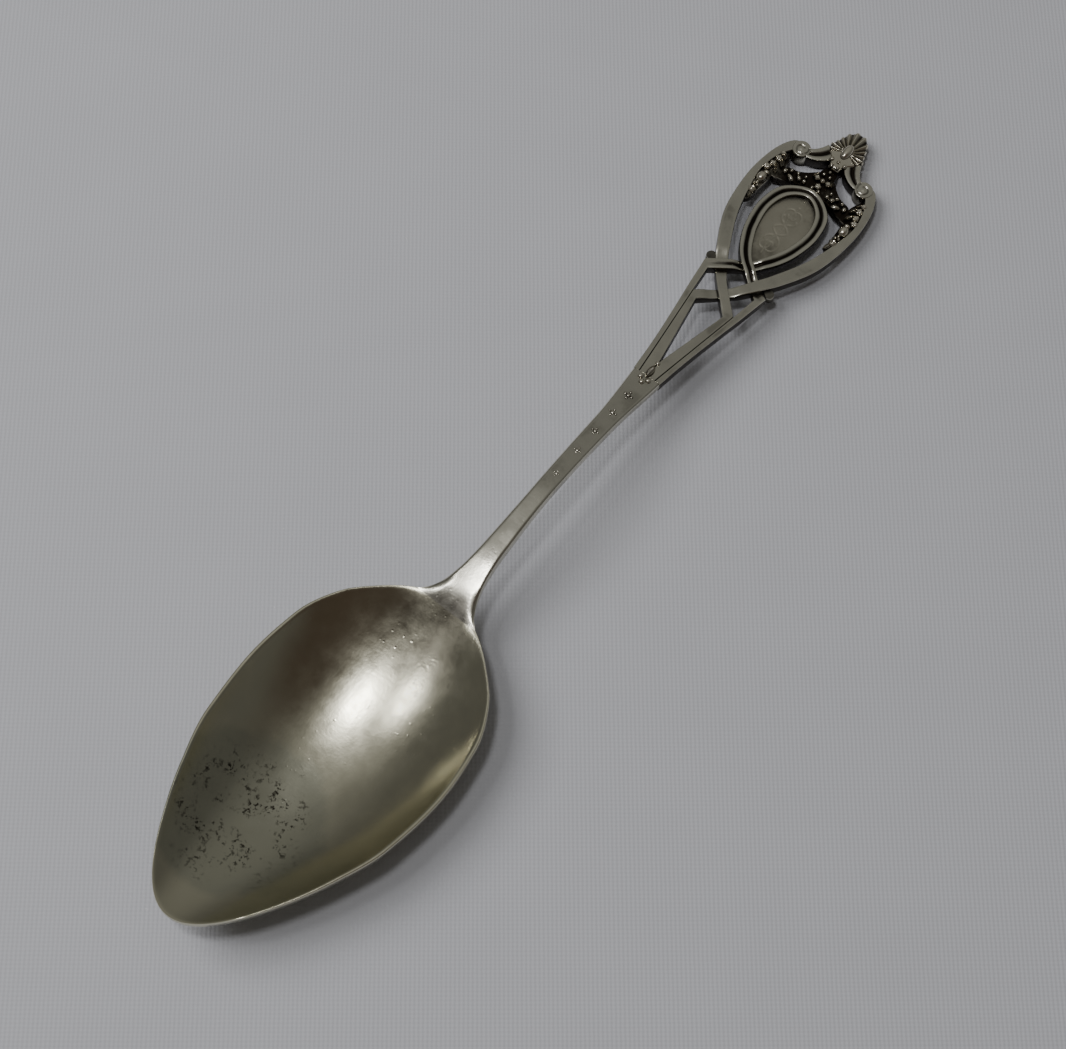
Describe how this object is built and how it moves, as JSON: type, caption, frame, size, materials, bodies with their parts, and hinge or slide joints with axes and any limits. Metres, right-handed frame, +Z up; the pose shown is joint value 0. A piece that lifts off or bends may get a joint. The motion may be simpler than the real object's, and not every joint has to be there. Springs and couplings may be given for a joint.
{
  "type": "souvenir spoon",
  "caption": "Small souvenir spoon with a pointed egg-shaped bowl, an arched stem and a pierced handle of interlaced straps round a medallion.",
  "frame": {"origin": "on the table, below the middle of the spoon's length and width", "axes": "+X from the bowl's tip to the shell at the handle's end, +Y across the spoon, +Z up from the table, the bowl face up"},
  "size_m": [0.148, 0.031, 0.01],
  "materials": {
    "bowl_silver": "polished silver, softly worn, with a warm grey tarnish film and fine pits",
    "stem_silver": "polished silver, softly worn, lightly tarnished",
    "strap_silver": "satin silver with dark tarnish in grooves and brighter worn edges",
    "plate_silver": "recessed satin silver, evenly tarnished",
    "ornament_silver": "oxidised silver relief, dark in the hollows and bright on the beads"
  },
  "bodies": {
    "root": {"bowl": "bowl_silver", "crest_moulding_left": "strap_silver", "crest_moulding_right": "strap_silver", "garland_left": "ornament_silver", "garland_right": "ornament_silver", "husk_drop_left": "ornament_silver", "husk_drop_right": "ornament_silver", "leaf_spray_left": "ornament_silver", "leaf_spray_right": "ornament_silver", "medallion_plate": "plate_silver", "narrow_strap_left": "strap_silver", "narrow_strap_right": "strap_silver", "neck": "stem_silver", "palmette": "ornament_silver", "scroll_left": "strap_silver", "scroll_right": "strap_silver", "shell": "ornament_silver", "shell_beads": "ornament_silver", "shell_boss": "ornament_silver", "stem": "stem_silver", "stem_ornaments": "ornament_silver", "strap_tip_left": "strap_silver", "strap_tip_right": "strap_silver", "wide_strap_left": "strap_silver", "wide_strap_right": "strap_silver"}
  },
  "joints": []
}
